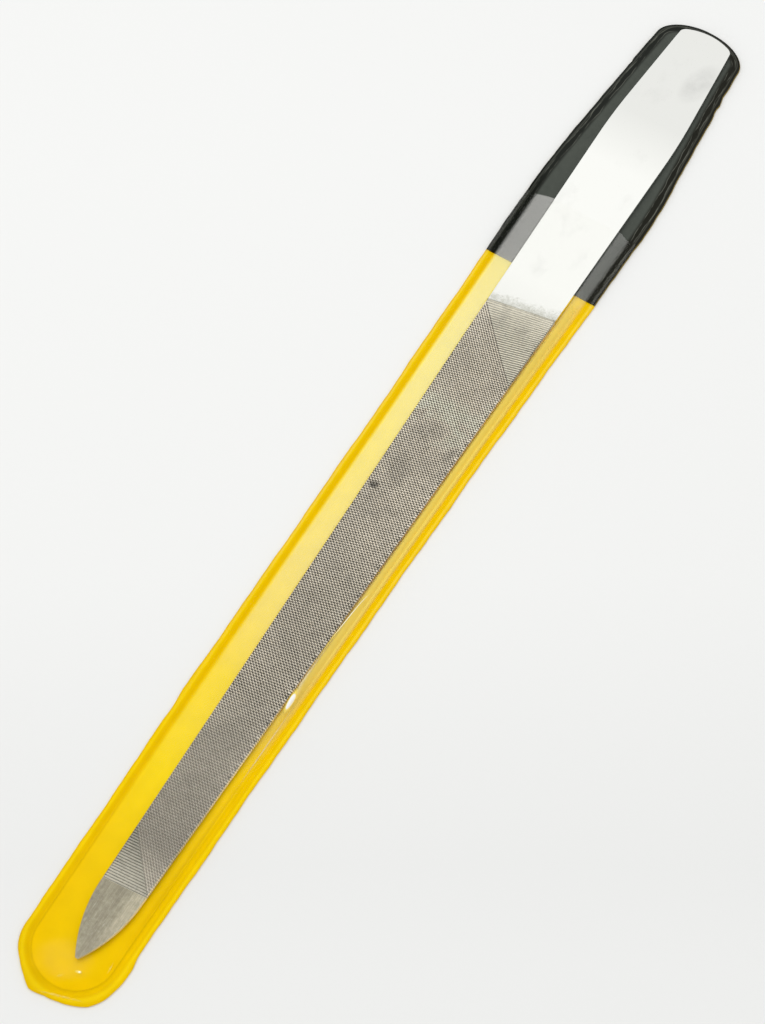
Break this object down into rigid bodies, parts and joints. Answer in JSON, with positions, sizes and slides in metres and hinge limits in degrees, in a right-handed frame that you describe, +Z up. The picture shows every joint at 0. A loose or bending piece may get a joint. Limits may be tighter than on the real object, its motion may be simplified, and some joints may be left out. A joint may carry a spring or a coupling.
{
  "type": "metal nail file in a sheath",
  "caption": "Flat steel nail file with a pointed tip, finely cut faces and a bare tapered handle, slipped into a flat welded vinyl sheath with a clear front film and open mouth.",
  "frame": {"origin": "under the middle of the sheath's length and width, on the plane that the sheath's back panel lies on", "axes": "+Y along the file towards the end of its handle, +Z up out of the sheath's front, +X to the right seen from the front with the handle up"},
  "size_m": [0.0224, 0.2087, 0.0023],
  "materials": {
    "ground_steel": "ground teeth and point, plated handle",
    "yellow_vinyl": "soft satin sheet",
    "black_vinyl": "soft satin sheet",
    "clear_vinyl": "clear film"
  },
  "bodies": {
    "sheath": {"back_panel": "yellow_vinyl", "mouth_panel": "black_vinyl", "front_film_left": "clear_vinyl", "front_film_roof": "clear_vinyl", "front_film_right": "clear_vinyl", "front_film_toe": "clear_vinyl"},
    "file": {"nail_file": "ground_steel"}
  },
  "joints": [
    {"name": "file_slide", "type": "slide", "parent": "sheath", "child": "file", "axis": [0, 1, 0], "range_m": [0, 0.205]}
  ]
}
